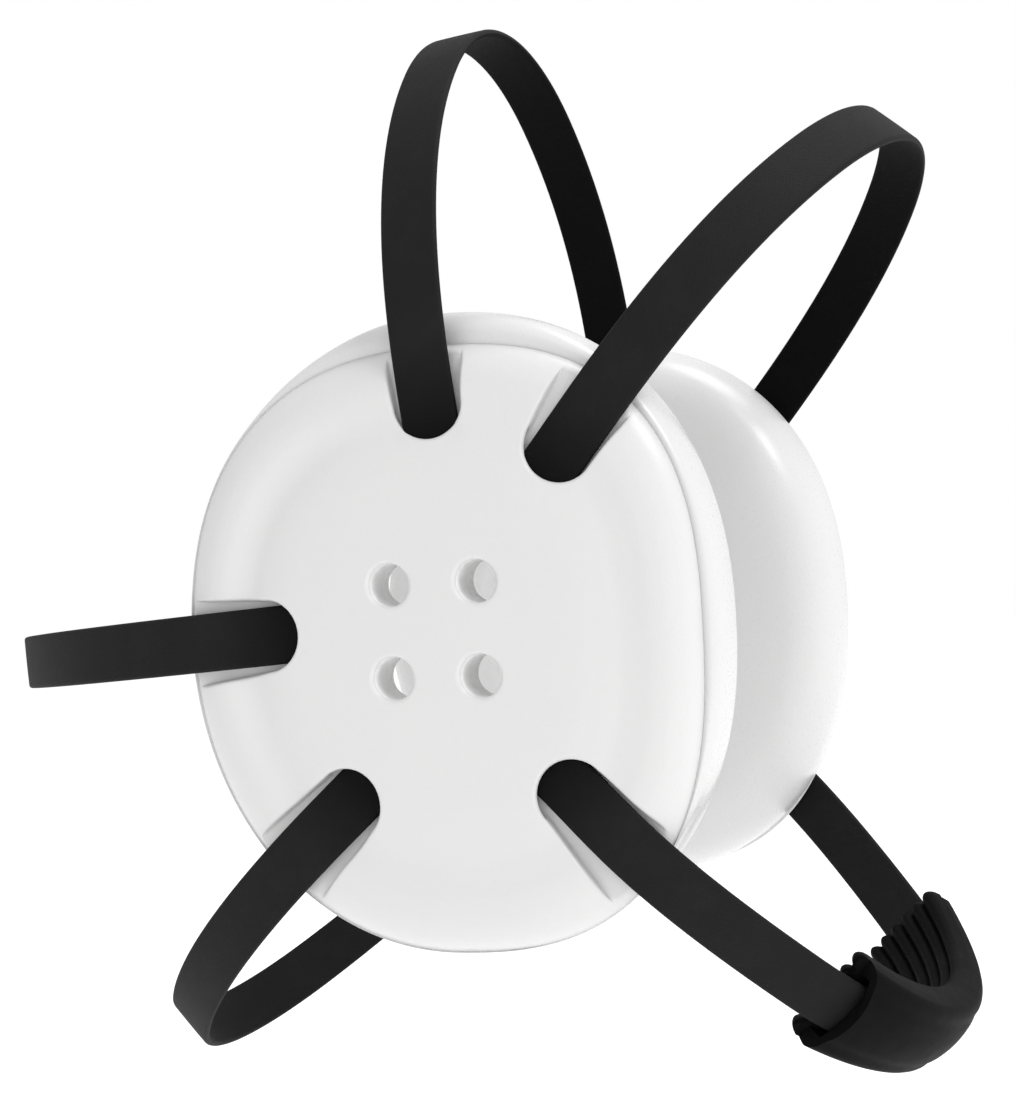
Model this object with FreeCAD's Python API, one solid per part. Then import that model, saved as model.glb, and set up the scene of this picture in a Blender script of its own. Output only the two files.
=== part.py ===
import FreeCAD, Part
import math
import os

# Wrestling headgear: two padded ear cups held by five webbing straps, with a
# chin cup on the chin strap.
# Frame: +X towards the wearer's left ear, -Y is the face side, +Z is up.
# The origin lies midway between the cups, level with the hearing holes.
# Millimetres throughout. "u" is the distance out from the mid-plane, |X|.

# ---------------------------------------------------------------- dimensions
WEB_WIDTH = 12.5            # strap webbing
WEB_THICK = 1.8

CUP_HALF_HEIGHT = 67.3      # pad outline, along Z
CUP_HALF_WIDTH = 60.9       # pad outline, along Y
CUP_END_RADIUS = 57.0       # arcs at the top and bottom of the outline
CUP_Y = 0.5                 # centre of the cup outline
CUP_Z = -0.9

FACE_U = 38.0               # face of the pad, against the head
SHELL_BACK_U = 58.2         # hard shell, inner face
COVER_BACK_U = 60.2         # hard shell outer face, cover inner face
FLOOR_U = 62.9              # floor of the strap channels
PLATEAU_U = 66.7            # middle of the outer cover

OPENING_INSET = 34.3        # from the pad outline in to the ear opening
SHELL_INSET = 6.7           # from the pad outline in to the hard shell's edge
COVER_INSET = 5.3           # from the pad outline in to the cover's edge
COVER_FILLET = 4.5
PAD_FACE_FILLET = 11.0
PAD_FRONT_FILLET = 5.5
PAD_OPENING_FILLET = 6.0
SKIN = 1.2                  # vinyl skin of the pad
LINER_THICK = 1.8           # foam liner behind the hearing holes

HOLE_SPACING = 19.4         # four hearing holes on a square
HOLE_RADIUS = 4.5
HOLE_CHAMFER = 0.9

STRAP_U = 64.4              # middle of the webbing where it lies in the cup
TAB_LENGTH = 9.0            # flat length of webbing beyond the post
POST_RADIUS = 2.0
POST_TOP_U = 65.4
POST_HEAD_RADIUS = 4.4
POST_HEAD_THICK = 1.2
EYELET_RADIUS = 3.4         # outside of the eyelet pressed into the webbing
EYELET_CLEARANCE = 0.06     # eyelet bore over the post, on the radius

POCKET_RADIUS = 7.3         # round end of the pocket about the post
POCKET_ROOF_U = 65.65
MOUTH_RADIUS = 7.6          # half-round end of the channel
MOUTH_DISTANCE = 14.6       # from the post to the middle of that half circle
FLARE_DISTANCE = 45.0       # where the channel is at its widest
FLARE_HALF_WIDTH = 10.4

CHIN_HALF_WIDTH = 9.6       # chin cup, across the webbing
CHIN_HALF_ANGLE = 50.0      # chin cup, along the strap's end arc
CHIN_GAP = 0.5              # sleeve clearance each side of the webbing
CHIN_WALL = 1.8             # outer wall
CHIN_LINER = 4.4            # ribbed inner wall
CHIN_SLOT_HALF_WIDTH = 6.8
RIB_COUNT = 6
RIB_DEPTH = 1.5

# One row per strap. angle: direction of the strap from +Z towards +Y, in
# degrees. post: distance of the post from the origin. offset: sideways shift
# of the centre line. start, end: handles of the side curve. radius, reach,
# sweep: radius, distance and half angle of the arc furthest from the cups.
# channel: turn of the cup's channel against the strap, in degrees.
STRAPS = {
    "crown_strap": dict(angle=4.8, post=32.3, offset=4.3, start=10.0, end=47.4,
                        radius=57.7, reach=135.3, sweep=40.0, channel=0.0),
    "forehead_strap": dict(angle=-40.6, post=31.7, offset=-0.9, start=17.0, end=42.4,
                           radius=58.6, reach=136.2, sweep=40.0, channel=3.5),
    "upper_back_strap": dict(angle=93.4, post=24.3, offset=2.5, start=8.0, end=60.0,
                             radius=46.0, reach=131.4, sweep=40.0, channel=0.0),
    "lower_back_strap": dict(angle=131.8, post=25.8, offset=-11.9, start=8.0, end=52.3,
                             radius=52.7, reach=130.1, sweep=40.0, channel=0.0),
    "chin_strap": dict(angle=-135.2, post=29.7, offset=3.9, start=16.0, end=43.0,
                       radius=56.1, reach=128.2, sweep=58.0, channel=-3.5),
}
CURVE_STEPS = 14            # points that carry each side curve's offset lines

# ------------------------------------------------------------------- helpers
X_AXIS = FreeCAD.Vector(1, 0, 0)


def save(name, shape):
    """Write one node and report its volume."""
    shape.exportStep(f"parts/{name}.step")
    print(f"{name:24s} solids {len(shape.Solids)}  cm3 {shape.Volume / 1000:8.3f}  valid {shape.isValid()}")


def vec(x, y, z=0.0):
    return FreeCAD.Vector(x, y, z)


def strap_frame(strap):
    """Placement of a strap's own frame: x along X, y out along the strap, z across the webbing."""
    angle = math.radians(strap["angle"])
    out = vec(0, math.sin(angle), math.cos(angle))
    across = X_AXIS.cross(out)
    matrix = FreeCAD.Matrix(
        1, out.x, across.x, 0,
        0, out.y, across.y, 0,
        0, out.z, across.z, 0,
        0, 0, 0, 1)
    return FreeCAD.Placement(matrix)


def post_point(strap):
    """Y and Z of the strap's post."""
    return strap_frame(strap).multVec(vec(0, strap["post"], strap["offset"]))


def disc(u_low, u_high, radius, y, z):
    """Cylinder along +X between two distances from the mid-plane."""
    return Part.makeCylinder(radius, u_high - u_low, vec(u_low, y, z), X_AXIS)


def oval_prism(inset, u_low, u_high):
    """Prism of the cup's four-arc oval, drawn in by inset on every side."""
    end = CUP_END_RADIUS
    rise = CUP_HALF_HEIGHT - end
    side = (end**2 - CUP_HALF_WIDTH**2 - rise**2) / (2 * (end - CUP_HALF_WIDTH))
    back = side - CUP_HALF_WIDTH
    angle = math.atan2(rise, back)
    end -= inset
    side -= inset
    corner_y = side * math.cos(angle) - back
    corner_z = side * math.sin(angle)
    points = {key: vec(u_low, CUP_Y + y, CUP_Z + z) for key, (y, z) in {
        "front_top": (-corner_y, corner_z), "top": (0, rise + end), "rear_top": (corner_y, corner_z),
        "rear": (side - back, 0), "rear_low": (corner_y, -corner_z), "low": (0, -rise - end),
        "front_low": (-corner_y, -corner_z), "front": (back - side, 0)}.items()}
    arcs = [("front_top", "top", "rear_top"), ("rear_top", "rear", "rear_low"),
            ("rear_low", "low", "front_low"), ("front_low", "front", "front_top")]
    edges = [Part.Arc(*(points[key] for key in arc)).toShape() for arc in arcs]
    return Part.Face(Part.Wire(edges)).extrude(vec(u_high - u_low, 0))


def fillet_rim(solid, u, radius, largest):
    """Round the rim at distance u; largest picks the outer outline, otherwise the opening."""
    rims = [edge for edge in solid.Edges
            if abs(edge.BoundBox.XMin - u) < 0.01 and abs(edge.BoundBox.XMax - u) < 0.01]
    reach = max(edge.CenterOfMass.sub(vec(u, CUP_Y, CUP_Z)).Length for edge in rims)
    rims = [edge for edge in rims
            if (edge.CenterOfMass.sub(vec(u, CUP_Y, CUP_Z)).Length > 0.8 * reach) == largest]
    return solid.makeFillet(radius, rims)


def rounded_wire(corners):
    """Closed wire through (x, y, fillet radius) corners, with true arcs at the fillets."""
    edges = []
    count = len(corners)
    starts = []
    ends = []
    middles = []
    for index, (u, r, radius) in enumerate(corners):
        here = vec(u, r)
        before = (vec(*corners[index - 1][:2]) - here).normalize()
        after = (vec(*corners[(index + 1) % count][:2]) - here).normalize()
        half = before.getAngle(after) / 2
        setback = radius / math.tan(half)
        bisector = (before + after).normalize()
        starts.append(here + before * setback)
        ends.append(here + after * setback)
        middles.append(here + bisector * (radius / math.sin(half) - radius))
    for index, (u, r, radius) in enumerate(corners):
        if radius > 0:
            edges.append(Part.Arc(starts[index], middles[index], ends[index]).toShape())
        edges.append(Part.makeLine(ends[index], starts[(index + 1) % count]))
    return Part.Wire(edges)


def hole_points():
    """Y and Z of the four hearing holes."""
    half = HOLE_SPACING / 2
    return [(y, z) for y in (-half, half) for z in (-half, half)]


# ------------------------------------------------------------ the left ear cup
def channel_outline(strap, round_radius, reach_out):
    """Flat shape, at u = 0, of the space that a strap's swing needs in the cup."""
    place = strap_frame(strap)
    turn = math.radians(strap["channel"])
    post = vec(0, strap["post"], strap["offset"])
    along = vec(0, math.cos(turn), -math.sin(turn))
    side = vec(0, math.sin(turn), math.cos(turn))

    def point(distance, shift):
        return place.multVec(post + along * distance + side * shift)

    if round_radius == POCKET_RADIUS:
        near, near_width, far, far_width = 0.0, POCKET_RADIUS, MOUTH_DISTANCE, MOUTH_RADIUS
    else:
        near, near_width, far, far_width = MOUTH_DISTANCE, MOUTH_RADIUS, reach_out, FLARE_HALF_WIDTH
    tip = point(near - round_radius, 0)
    edges = [
        Part.Arc(point(near, near_width), tip, point(near, -near_width)).toShape(),
        Part.makeLine(point(near, -near_width), point(far, -far_width)),
        Part.makeLine(point(far, -far_width), point(far, far_width)),
        Part.makeLine(point(far, far_width), point(near, near_width)),
    ]
    return Part.Face(Part.Wire(edges))


def strap_room(strap):
    """Open channel and covered pocket of one strap, as a cutting tool."""
    channel = channel_outline(strap, MOUTH_RADIUS, FLARE_DISTANCE)
    channel.translate(vec(FLOOR_U, 0))
    channel = channel.extrude(vec(PLATEAU_U, 0))
    pocket = channel_outline(strap, POCKET_RADIUS, MOUTH_DISTANCE)
    pocket.translate(vec(FLOOR_U, 0))
    pocket = pocket.extrude(vec(POCKET_ROOF_U - FLOOR_U, 0))
    return channel.fuse(pocket)


def outer_cover():
    """Moulded foam cover with its strap channels, pockets and hearing holes."""
    cover = oval_prism(COVER_INSET, COVER_BACK_U, PLATEAU_U)
    cover = fillet_rim(cover, PLATEAU_U, COVER_FILLET, True)
    for strap in STRAPS.values():
        cover = cover.cut(strap_room(strap))
        post = post_point(strap)
        cover = cover.cut(disc(COVER_BACK_U - 1, FLOOR_U + 1, POST_RADIUS, post.y, post.z))
    for y, z in hole_points():
        cover = cover.cut(disc(COVER_BACK_U - 1, PLATEAU_U + 2, HOLE_RADIUS, y, z))
        cone = Part.makeCone(HOLE_RADIUS, HOLE_RADIUS + 2 * HOLE_CHAMFER, 2 * HOLE_CHAMFER,
                             vec(PLATEAU_U - HOLE_CHAMFER, y, z), X_AXIS)
        cover = cover.cut(cone)
    return cover


def hard_shell():
    """Stiff plastic plate that carries the posts."""
    shell = oval_prism(SHELL_INSET, SHELL_BACK_U, COVER_BACK_U)
    for strap in STRAPS.values():
        post = post_point(strap)
        shell = shell.cut(disc(SHELL_BACK_U - 1, COVER_BACK_U + 1, POST_RADIUS, post.y, post.z))
    for y, z in hole_points():
        shell = shell.cut(disc(SHELL_BACK_U - 1, COVER_BACK_U + 1, HOLE_RADIUS, y, z))
    return shell


def strap_posts():
    """Five headed posts, one for each strap."""
    posts = []
    for strap in STRAPS.values():
        post = post_point(strap)
        shank = disc(SHELL_BACK_U, POST_TOP_U, POST_RADIUS, post.y, post.z)
        head = disc(SHELL_BACK_U - POST_HEAD_THICK, SHELL_BACK_U, POST_HEAD_RADIUS, post.y, post.z)
        posts.append(shank.fuse(head).removeSplitter())
    return Part.Compound(posts)


def head_recesses():
    """Room behind the hard shell for the posts' heads."""
    tools = []
    for strap in STRAPS.values():
        post = post_point(strap)
        tools.append(disc(SHELL_BACK_U - POST_HEAD_THICK - 0.3, SHELL_BACK_U + 1,
                          POST_HEAD_RADIUS + 0.4, post.y, post.z))
    return Part.Compound(tools)


def pad_body(inset):
    """Pad ring with rounded edges, drawn in by inset except at its glued front."""
    ring = oval_prism(inset, FACE_U + inset, SHELL_BACK_U)
    ring = ring.cut(oval_prism(OPENING_INSET - inset, FACE_U - 1, SHELL_BACK_U + 1))
    ring = fillet_rim(ring, FACE_U + inset, PAD_FACE_FILLET - inset, True)
    ring = fillet_rim(ring, FACE_U + inset, PAD_OPENING_FILLET - inset, False)
    return fillet_rim(ring, SHELL_BACK_U, PAD_FRONT_FILLET - inset, True)


def pad_foam():
    """Foam ring inside the pad's skin."""
    return pad_body(SKIN).cut(head_recesses())


def pad_skin():
    """Vinyl skin over the foam ring, open at its glued front."""
    return pad_body(0.0).cut(pad_body(SKIN)).cut(head_recesses())


def ear_liner():
    """Thin foam sheet on the hard shell, inside the ear opening."""
    liner = oval_prism(OPENING_INSET, SHELL_BACK_U - LINER_THICK, SHELL_BACK_U)
    liner = liner.cut(head_recesses())
    for y, z in hole_points():
        liner = liner.cut(disc(SHELL_BACK_U - LINER_THICK - 1, SHELL_BACK_U + 1, HOLE_RADIUS, y, z))
    return liner


def build_cups():
    """Both cups; the right one mirrors the left one."""
    pieces = {
        "outer_cover": outer_cover(),
        "hard_shell": hard_shell(),
        "strap_posts": strap_posts(),
        "pad_foam": pad_foam(),
        "pad_skin": pad_skin(),
        "ear_liner": ear_liner(),
    }
    for name, shape in pieces.items():
        save(f"left_{name}", shape)
        save(f"right_{name}", shape.mirror(vec(0, 0), X_AXIS))


# -------------------------------------------------------------------- straps
def side_curve(strap):
    """Points and outward normals of the -X half, from the flat tab to the end arc."""
    sweep = math.radians(strap["sweep"])
    centre = vec(0, strap["reach"] - strap["radius"])
    start = vec(-STRAP_U, strap["post"] + TAB_LENGTH)
    end = centre + vec(-math.sin(sweep), math.cos(sweep)) * strap["radius"]
    handle_a = start + vec(0, 1) * strap["start"]
    handle_b = end - vec(math.cos(sweep), math.sin(sweep)) * strap["end"]
    points = []
    for step in range(CURVE_STEPS + 1):
        t = step / CURVE_STEPS
        s = 1 - t
        place = start * s**3 + handle_a * (3 * t * s * s) + handle_b * (3 * t * t * s) + end * t**3
        slope = (handle_a - start) * (s * s) + (handle_b - handle_a) * (2 * t * s)
        slope = slope + (end - handle_b) * (t * t)
        slope.normalize()
        points.append((place, vec(-slope.y, slope.x), slope))
    return points


def ribbon_edges(strap, shift):
    """One long side of the webbing, from the -X tab round to the +X tab."""
    side = side_curve(strap)
    line = [place + normal * shift for place, normal, slope in side]
    curve = Part.BSplineCurve()
    curve.interpolate(line, InitialTangent=side[0][2] * 1.0, FinalTangent=side[-1][2] * 1.0)
    sweep = math.radians(strap["sweep"])
    centre = vec(0, strap["reach"] - strap["radius"])
    radius = strap["radius"] + shift
    first = centre + vec(-math.sin(sweep), math.cos(sweep)) * radius
    last = centre + vec(math.sin(sweep), math.cos(sweep)) * radius
    tab_end = vec(line[0].x, strap["post"] - WEB_WIDTH / 2)
    near = curve.toShape()
    far = near.mirror(vec(0, 0), X_AXIS)
    return tab_end, [
        Part.makeLine(tab_end, line[0]), near,
        Part.Arc(first, centre + vec(0, radius), last).toShape(), far,
        Part.makeLine(vec(-line[0].x, line[0].y), vec(-tab_end.x, tab_end.y))]


def webbing(strap):
    """Flat webbing with round ends, pierced for its two eyelets."""
    outer_end, outer = ribbon_edges(strap, WEB_THICK / 2)
    inner_end, inner = ribbon_edges(strap, -WEB_THICK / 2)
    cap_left = Part.makeLine(outer_end, inner_end)
    cap_right = Part.makeLine(vec(-outer_end.x, outer_end.y), vec(-inner_end.x, inner_end.y))
    edges = Part.__sortEdges__(outer + inner + [cap_left, cap_right])
    band = Part.Face(Part.Wire(edges)).extrude(vec(0, 0, WEB_WIDTH))
    band.translate(vec(0, 0, strap["offset"] - WEB_WIDTH / 2))
    half = WEB_WIDTH / 2
    corner = Part.makeBox(200, half, WEB_WIDTH, vec(-100, strap["post"] - half, strap["offset"] - half))
    round_end = Part.makeCylinder(half, 200, vec(-100, strap["post"], strap["offset"]), X_AXIS)
    band = band.cut(corner.cut(round_end))
    bore = Part.makeCylinder(EYELET_RADIUS, 200, vec(-100, strap["post"], strap["offset"]), X_AXIS)
    band = band.cut(bore)
    band.Placement = strap_frame(strap)
    return band


def eyelets(strap):
    """The two metal eyelets pressed into a strap's ends."""
    pair = []
    for side in (-1, 1):
        low = side * STRAP_U - WEB_THICK / 2
        ring = Part.makeCylinder(EYELET_RADIUS, WEB_THICK, vec(low, strap["post"], strap["offset"]), X_AXIS)
        bore = Part.makeCylinder(POST_RADIUS + EYELET_CLEARANCE, 2 * WEB_THICK,
                                 vec(low - WEB_THICK / 2, strap["post"], strap["offset"]), X_AXIS)
        pair.append(ring.cut(bore))
    shape = Part.Compound(pair)
    shape.Placement = strap_frame(strap)
    return shape


def build_straps():
    for name, strap in STRAPS.items():
        save(name, webbing(strap))
        save(name.replace("strap", "eyelets"), eyelets(strap))


# ------------------------------------------------------------------ chin cup
def chin_sector(wire):
    """Turn a closed (radius, across) wire about the chin strap's arc centre."""
    strap = STRAPS["chin_strap"]
    face = Part.Face(wire)
    solid = face.revolve(vec(0, 0), vec(0, 0, 1), 2 * CHIN_HALF_ANGLE)
    turn = FreeCAD.Rotation(vec(0, 0, 1), 90 - CHIN_HALF_ANGLE)
    shift = vec(0, strap["reach"] - strap["radius"], strap["offset"])
    local = FreeCAD.Placement(shift, turn)
    solid.Placement = strap_frame(strap).multiply(local)
    return solid


def chin_outer():
    """Smooth wall and side rails that wrap the webbing."""
    radius = STRAPS["chin_strap"]["radius"]
    top = radius + WEB_THICK / 2 + CHIN_GAP
    foot = radius - WEB_THICK / 2 - CHIN_GAP
    half = CHIN_HALF_WIDTH
    slot = CHIN_SLOT_HALF_WIDTH
    corners = [
        (foot, -half, 0), (top + CHIN_WALL, -half, 2.0), (top + CHIN_WALL, half, 2.0), (foot, half, 0),
        (foot, slot, 0), (top, slot, 0), (top, -slot, 0), (foot, -slot, 0)]
    wire = rounded_wire([(r, s, fillet) for r, s, fillet in corners])
    wire.rotate(vec(0, 0), X_AXIS, 90)
    return chin_sector(wire)


def chin_inner():
    """Inner wall with soft ribs that run along the strap."""
    radius = STRAPS["chin_strap"]["radius"]
    back = radius - WEB_THICK / 2 - CHIN_GAP
    face = back - CHIN_LINER
    half = CHIN_HALF_WIDTH
    pitch = 2 * half / RIB_COUNT
    edges = []
    for index in range(RIB_COUNT):
        low = -half + index * pitch
        edges.append(Part.Arc(vec(face + RIB_DEPTH, low), vec(face, low + pitch / 2),
                              vec(face + RIB_DEPTH, low + pitch)).toShape())
    edges.append(Part.makeLine(vec(face + RIB_DEPTH, half), vec(back, half)))
    edges.append(Part.makeLine(vec(back, half), vec(back, -half)))
    edges.append(Part.makeLine(vec(back, -half), vec(face + RIB_DEPTH, -half)))
    wire = Part.Wire(edges)
    wire.rotate(vec(0, 0), X_AXIS, 90)
    return chin_sector(wire)


def main():
    os.makedirs("parts", exist_ok=True)
    build_cups()
    build_straps()
    save("chin_cup_outer", chin_outer())
    save("chin_cup_liner", chin_inner())


main()
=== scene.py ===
import math

import bmesh
import bpy
import numpy as np
from mathutils import Matrix, Vector
from mathutils.geometry import delaunay_2d_cdt


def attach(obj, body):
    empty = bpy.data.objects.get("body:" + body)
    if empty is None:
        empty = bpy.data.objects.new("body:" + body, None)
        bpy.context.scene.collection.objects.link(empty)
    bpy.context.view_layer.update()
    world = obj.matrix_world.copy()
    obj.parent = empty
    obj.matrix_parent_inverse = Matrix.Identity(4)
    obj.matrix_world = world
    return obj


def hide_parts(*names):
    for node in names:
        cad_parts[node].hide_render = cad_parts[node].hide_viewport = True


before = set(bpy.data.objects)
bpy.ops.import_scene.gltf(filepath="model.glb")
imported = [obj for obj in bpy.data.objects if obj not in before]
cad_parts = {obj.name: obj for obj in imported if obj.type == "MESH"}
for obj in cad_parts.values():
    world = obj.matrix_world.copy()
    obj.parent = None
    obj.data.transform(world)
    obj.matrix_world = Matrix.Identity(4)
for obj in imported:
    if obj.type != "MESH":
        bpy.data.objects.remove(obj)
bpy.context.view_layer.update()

# Wrestling headgear. Sizes are in millimetres, as in the CAD, and turn into
# metres where a mesh is made. "u" is the distance out from the mid-plane, |X|.
MM = 0.001

# ------------------------------------------------------------------ ear cups
CUP_Y, CUP_Z = 0.5, -0.9            # centre of the cup outline
# Each outline: half width to the face and to the back, half height up and down,
# and how square its front half, upper rear quarter and lower rear quarter are.
CUP_OUTLINE = (60.2, 60.6, 67.3, 67.3, 2.25, 2.0, 2.0)
COVER_OUTLINE = (56.0, 58.4, 59.8, 66.2, 2.6, 2.35, 2.03)
COVER_SPAN = 62.0                   # half height of the cover, the unit of its section
COVER_BACK_U = 60.2
FLOOR_U = 62.9
POCKET_ROOF_U = 65.65
LIP_WALL = 0.15                     # least cover left over a pocket
SAME_HEIGHT = 1e-4                  # layers closer than this share a vertex
COVER_SECTION = [                   # level times COVER_SPAN, u: dome, valley, raised rim, edge
    (0, 67.1), (22, 67.0), (34, 66.7), (41, 66.0), (45.5, 65.5), (48.5, 65.55),
    (51.5, 65.7), (55, 65.3), (58.2, 64.1), (60.6, 62.4), (62, 60.7)]
REAR_VALLEY = 0.7                   # how much deeper the valley is on the rear half
REAR_BLEND = 25                     # distance behind the middle where it is that deep
VALLEY_LEVEL = 46.5                 # where the valley lies in the section, and its width
VALLEY_WIDTH = 4.5

HOLE_SPACING = 19.4                 # four hearing holes on a square
HOLE_RADIUS = 4.5
HOLE_ROUND = 1.0                    # rounding of the holes' edges
CHANNEL_ROUND = 0.8                 # rounding of the channels' lips
FLOOR_ROUND = 0.5                   # rounding where a channel's floor meets its wall
ROUND_FADE = 1.6                    # height of rim over which both roundings fade out
POCKET_RADIUS = 7.3                 # round end of a pocket about its post
MOUTH_RADIUS = 7.6                  # half-round end of an open channel
MOUTH_DISTANCE = 14.6               # from the post to the middle of that half circle
FLARE_DISTANCE = 45.0               # where a channel is at its widest
FLARE_HALF_WIDTH = 10.4

RIM_STEPS = 260                     # cover mesh: points round the edge and round a hole
HOLE_STEPS = 40
RING_OUTER, RING_INNER, RING_GAP = 0.985, 0.60, 0.021   # rings of points, share of the outline
GRID_GAP = 2.1                      # staggered grid of points inside the last ring
GRID_LEVEL = 0.595
SHARP_GAP = 0.05                    # points closer than this to a lip get no normal of their own

PAD_SECTION = [                     # inset from the outline, u, how far it follows the cover
    (7.5, 59.4, 1), (6.2, 60.0, 1), (5.2, 60.45, 1), (4.3, 60.75, 0.85), (2.9, 60.5, 0.5),
    (1.3, 59.0, 0.2), (0.3, 56.4, 0), (0.0, 52.5, 0), (0.5, 48.3, 0), (2.2, 44.0, 0),
    (5.3, 40.4, 0), (9.6, 38.4, 0), (14.5, 37.9, 0), (20.0, 38.0, 0), (25.4, 38.5, 0),
    (29.6, 40.3, 0), (32.4, 43.6, 0), (33.8, 48.0, 0), (34.3, 53.0, 0), (34.3, 57.4, 0),
    (33.0, 58.2, 0), (20.0, 58.2, 0)]
PAD_SEAM = 5.3                      # inset in the list above that lies on the cover's edge
PAD_STEPS = 180                     # points round the ring
PUFF_DEPTH = 0.18                   # slow unevenness of the stuffed face
PUFF_REACH = 30                     # inset where it ends

# -------------------------------------------------------------------- straps
WEB_WIDTH = 12.5
WEB_THICK = 1.8
WEB_EDGE = 0.75                     # rolled edge of the webbing
WEB_CROWN = 0.05                    # rise of its middle
TIP_WIDTH = 0.04                    # share of the width left at the very end
STRAP_U = 64.4                      # middle of the webbing where it lies in the cup
TAB_LENGTH = 9.0                    # flat length of webbing beyond the post
STRAPS = {                          # shade: how much painted shade darkens the inner side
    "crown": dict(angle=4.8, post=32.3, offset=4.3, start=10.0, end=47.4,
                  radius=57.7, reach=135.3, sweep=40.0, channel=0.0, shade=0.9),
    "forehead": dict(angle=-40.6, post=31.7, offset=-0.9, start=17.0, end=42.4,
                     radius=58.6, reach=136.2, sweep=40.0, channel=3.5, shade=0.9),
    "upper_back": dict(angle=93.4, post=24.3, offset=2.5, start=8.0, end=60.0,
                       radius=46.0, reach=131.4, sweep=40.0, channel=0.0, shade=0.5),
    "lower_back": dict(angle=131.8, post=25.8, offset=-11.9, start=8.0, end=52.3,
                       radius=52.7, reach=130.1, sweep=40.0, channel=0.0, shade=0.25),
    "chin": dict(angle=-135.2, post=29.7, offset=3.9, start=16.0, end=43.0,
                 radius=56.1, reach=128.2, sweep=58.0, channel=-3.5, shade=0.2),
}

# ------------------------------------------------------------------ chin cup
CHIN_HALF_WIDTH = 9.6               # across the webbing
CHIN_HALF_ANGLE = 48.5              # along the strap's end arc
CHIN_GAP = 0.5                      # clearance each side of the webbing
CHIN_WALL = 1.8
CHIN_LINER = 4.4
CHIN_SLOT_HALF_WIDTH = 6.8
CHIN_ROUND = 2.4                    # rounding of the outer wall's long edges
CHIN_CROWN = 1.3                    # rise of its middle
CHIN_GROOVE = 0.2                   # depth, inset and width of the line beside each edge
CHIN_GROOVE_INSET = 3.6
CHIN_GROOVE_WIDTH = 0.7
CHIN_FLARE = 0.17                   # how much wider the cup is at its ends
CHIN_SCOOP = 3.0                    # degrees the outer wall draws back round the strap
CHIN_NOSE = 0.05                    # share of the length over which the ribs round off
CHIN_EDGE = 0.4                     # bevel of the moulded edges
CHIN_EDGE_ANGLE = 50                # least angle in degrees of an edge that gets it
RIB_COUNT = 6
RIB_DEPTH = 1.5
RIB_OVERHANG = 1.0                  # degrees the liner runs past the outer wall
RIB_LOBE = 1.6                      # degrees more at the top of a rib

# --------------------------------------------------------- camera and studio
CAMERA_PLACE = (-494.0, -179.8, 13.1)           # millimetres; the three turns are in degrees
CAMERA_TURN = 20.83                 # from straight along +X, towards the back of the head
CAMERA_TILT = -0.32
CAMERA_ROLL = -3.09
CAMERA_LENS = 73.7
FLOOR_HALF, FLOOR_LEVEL = 4000, -160
FLOOR_GLOW = 0.28
SKY_LIGHT, SKY_SEEN = 0.78, 1.0     # strength as light, and as background
LAMPS = {                           # place in metres, size, power; all point at the origin
    "key": ((-0.35, -0.8, 0.85), 0.45, 5.4),
    "rim": ((0.2, -0.3, 1.0), 0.5, 3.4),
}


# ------------------------------------------------------------------- helpers
def smooth_curve(points):
    """Function of x through the points, with slopes that never overshoot."""
    x, y = np.array(points, float).T
    step = np.diff(x)
    grade = np.diff(y) / step
    slope = np.zeros(len(x))
    same = grade[:-1] * grade[1:] > 0
    slope[1:-1][same] = 2 / (1 / grade[:-1][same] + 1 / grade[1:][same])
    slope[-1] = grade[-1]

    def value(at):
        at = np.clip(at, x[0], x[-1])
        cell = np.clip(np.searchsorted(x, at) - 1, 0, len(step) - 1)
        t = (at - x[cell]) / step[cell]
        a = (1 + 2 * t) * (1 - t) ** 2 * y[cell] + t * t * (3 - 2 * t) * y[cell + 1]
        b = step[cell] * (t * (1 - t) ** 2 * slope[cell] - t * t * (1 - t) * slope[cell + 1])
        return a + b

    return value


def closed_curve(points, steps):
    """Closed Catmull-Rom curve through the points, steps to a span."""
    points = np.array(points, float)
    count = len(points)
    rows = []
    for index in range(count):
        p0, p1, p2, p3 = (points[(index + k) % count] for k in (-1, 0, 1, 2))
        for t in np.arange(steps) / steps:
            rows.append(0.5 * (2 * p1 + (p2 - p0) * t + (2 * p0 - 5 * p1 + 4 * p2 - p3) * t * t
                               + (3 * p1 - p0 - 3 * p2 + p3) * t ** 3))
    return np.array(rows)


def new_object(name, points, faces, merge=True):
    """Smooth mesh object from points in millimetres."""
    mesh = bpy.data.meshes.new(name)
    mesh.from_pydata([tuple(p) for p in np.asarray(points) * MM], [], faces)
    made = bpy.data.objects.new(name, mesh)
    bpy.context.scene.collection.objects.link(made)
    edit = bmesh.new()
    edit.from_mesh(mesh)
    if merge:
        bmesh.ops.remove_doubles(edit, verts=edit.verts, dist=1e-7)
    bmesh.ops.recalc_face_normals(edit, faces=edit.faces)
    if all(edge.is_manifold for edge in edit.edges) and edit.calc_volume(signed=True) < 0:
        bmesh.ops.reverse_faces(edit, faces=edit.faces)
    edit.to_mesh(mesh)
    edit.free()
    mesh.polygons.foreach_set("use_smooth", [True] * len(mesh.polygons))
    return made


def grid_faces(rows, columns, close_rows=False, close_columns=False):
    """Quads of a rows by columns grid of points."""
    faces = []
    for i in range(rows if close_rows else rows - 1):
        for j in range(columns if close_columns else columns - 1):
            k, m = (i + 1) % rows, (j + 1) % columns
            faces.append((i * columns + j, i * columns + m, k * columns + m, k * columns + j))
    return faces


def tube_faces(rows, columns):
    """Faces of a closed section swept along rows, with both ends capped."""
    faces = grid_faces(rows, columns, False, True)
    faces.append(tuple(range(columns)))
    faces.append(tuple(range((rows - 1) * columns, rows * columns)))
    return faces


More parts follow.
